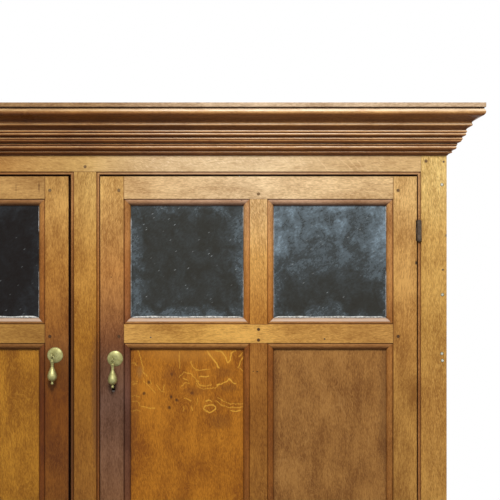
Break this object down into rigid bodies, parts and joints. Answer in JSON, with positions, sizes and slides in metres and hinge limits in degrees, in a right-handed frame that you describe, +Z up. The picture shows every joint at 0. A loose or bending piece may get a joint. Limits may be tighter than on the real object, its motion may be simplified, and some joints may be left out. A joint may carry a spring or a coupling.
{
  "type": "larder cabinet",
  "caption": "Tall pegged oak larder cabinet with glazed and panelled doors over panelled doors, shelves inside, drop pulls and a moulded cornice.",
  "frame": {"origin": "on the floor under the middle of the cabinet's overall box", "axes": "+Z up, +X to the right of someone facing the doors, +Y from the doors towards the back"},
  "size_m": [1.499, 0.5624, 1.83],
  "materials": {
    "oak": "waxed, worn",
    "glass": "old, dusty",
    "brass": "aged",
    "iron": "dark, worn"
  },
  "bodies": {
    "carcase": {"back_boards": "oak", "bottom_rail": "oak", "case_hinge_halves": "iron", "case_pegs": "oak", "centre_stiles": "oak", "cornice_bed": "oak", "cornice_cap": "oak", "cornice_crown": "oak", "cornice_reeding": "oak", "cupboard_floors": "oak", "door_stops": "oak", "frieze_rail": "oak", "left_front_stile": "oak", "left_side_boards": "oak", "right_front_stile": "oak", "right_side_boards": "oak", "shelf_bearers": "oak", "shelves": "oak", "top_boards": "oak", "waist_rail": "oak"},
    "left_upper_door": {"left_upper_door_glazing_beads": "oak", "left_upper_door_hinge_leaves": "iron", "left_upper_door_muntins": "oak", "left_upper_door_panels": "oak", "left_upper_door_panes": "glass", "left_upper_door_pegs": "oak", "left_upper_door_pull_rose": "brass", "left_upper_door_rails": "oak", "left_upper_door_stiles": "oak"},
    "right_upper_door": {"right_upper_door_glazing_beads": "oak", "right_upper_door_hinge_leaves": "iron", "right_upper_door_lock_case": "iron", "right_upper_door_muntins": "oak", "right_upper_door_panels": "oak", "right_upper_door_panes": "glass", "right_upper_door_pegs": "oak", "right_upper_door_pull_rose": "brass", "right_upper_door_rails": "oak", "right_upper_door_stiles": "oak"},
    "left_lower_door": {"left_lower_door_hinge_leaves": "iron", "left_lower_door_panels": "oak", "left_lower_door_pegs": "oak", "left_lower_door_pull_rose": "brass", "left_lower_door_rails": "oak", "left_lower_door_uprights": "oak"},
    "right_lower_door": {"right_lower_door_hinge_leaves": "iron", "right_lower_door_lock_case": "iron", "right_lower_door_panels": "oak", "right_lower_door_pegs": "oak", "right_lower_door_pull_rose": "brass", "right_lower_door_rails": "oak", "right_lower_door_uprights": "oak"},
    "left_lower_door_pull_drop": {"left_lower_door_pull_drop": "brass"},
    "left_lower_door_turn_button": {"left_lower_door_turn_button": "oak"},
    "left_upper_door_pull_drop": {"left_upper_door_pull_drop": "brass"},
    "left_upper_door_turn_button": {"left_upper_door_turn_button": "oak"},
    "right_lower_door_lock_bolt": {"right_lower_door_lock_bolt": "iron"},
    "right_lower_door_pull_drop": {"right_lower_door_pull_drop": "brass"},
    "right_upper_door_lock_bolt": {"right_upper_door_lock_bolt": "iron"},
    "right_upper_door_pull_drop": {"right_upper_door_pull_drop": "brass"}
  },
  "joints": [
    {"name": "left_upper_door_swing", "type": "hinge", "parent": "carcase", "child": "left_upper_door", "pos_m": [-0.6343, -0.22025, 1.296], "axis": [0, 0, -1], "range_deg": [0, 105]},
    {"name": "left_upper_door_pull_swing", "type": "hinge", "parent": "left_upper_door", "child": "left_upper_door_pull_drop", "pos_m": [-0.06, -0.23375, 1.3577], "axis": [-1, 0, 0], "range_deg": [-8, 70]},
    {"name": "left_upper_door_button_turn", "type": "hinge", "parent": "left_upper_door", "child": "left_upper_door_turn_button", "pos_m": [-0.054, -0.18895, 1.3025], "axis": [0, 1, 0], "range_deg": [0, 90]},
    {"name": "right_upper_door_swing", "type": "hinge", "parent": "carcase", "child": "right_upper_door", "pos_m": [0.6343, -0.22025, 1.296], "axis": [0, 0, 1], "range_deg": [0, 105]},
    {"name": "right_upper_door_pull_swing", "type": "hinge", "parent": "right_upper_door", "child": "right_upper_door_pull_drop", "pos_m": [0.054, -0.23375, 1.3512], "axis": [-1, 0, 0], "range_deg": [-8, 70]},
    {"name": "right_upper_door_bolt_slide", "type": "slide", "parent": "right_upper_door", "child": "right_upper_door_lock_bolt", "axis": [-1, 0, 0], "range_m": [0, 0.009]},
    {"name": "left_lower_door_swing", "type": "hinge", "parent": "carcase", "child": "left_lower_door", "pos_m": [-0.6343, -0.22025, 0.5025], "axis": [0, 0, -1], "range_deg": [0, 105]},
    {"name": "left_lower_door_pull_swing", "type": "hinge", "parent": "left_lower_door", "child": "left_lower_door_pull_drop", "pos_m": [-0.06, -0.23375, 0.6837], "axis": [-1, 0, 0], "range_deg": [-8, 70]},
    {"name": "left_lower_door_button_turn", "type": "hinge", "parent": "left_lower_door", "child": "left_lower_door_turn_button", "pos_m": [-0.054, -0.18895, 0.6285], "axis": [0, 1, 0], "range_deg": [0, 90]},
    {"name": "right_lower_door_swing", "type": "hinge", "parent": "carcase", "child": "right_lower_door", "pos_m": [0.6343, -0.22025, 0.5025], "axis": [0, 0, 1], "range_deg": [0, 105]},
    {"name": "right_lower_door_pull_swing", "type": "hinge", "parent": "right_lower_door", "child": "right_lower_door_pull_drop", "pos_m": [0.054, -0.23375, 0.6772], "axis": [-1, 0, 0], "range_deg": [-8, 70]},
    {"name": "right_lower_door_bolt_slide", "type": "slide", "parent": "right_lower_door", "child": "right_lower_door_lock_bolt", "axis": [-1, 0, 0], "range_m": [0, 0.009]}
  ]
}
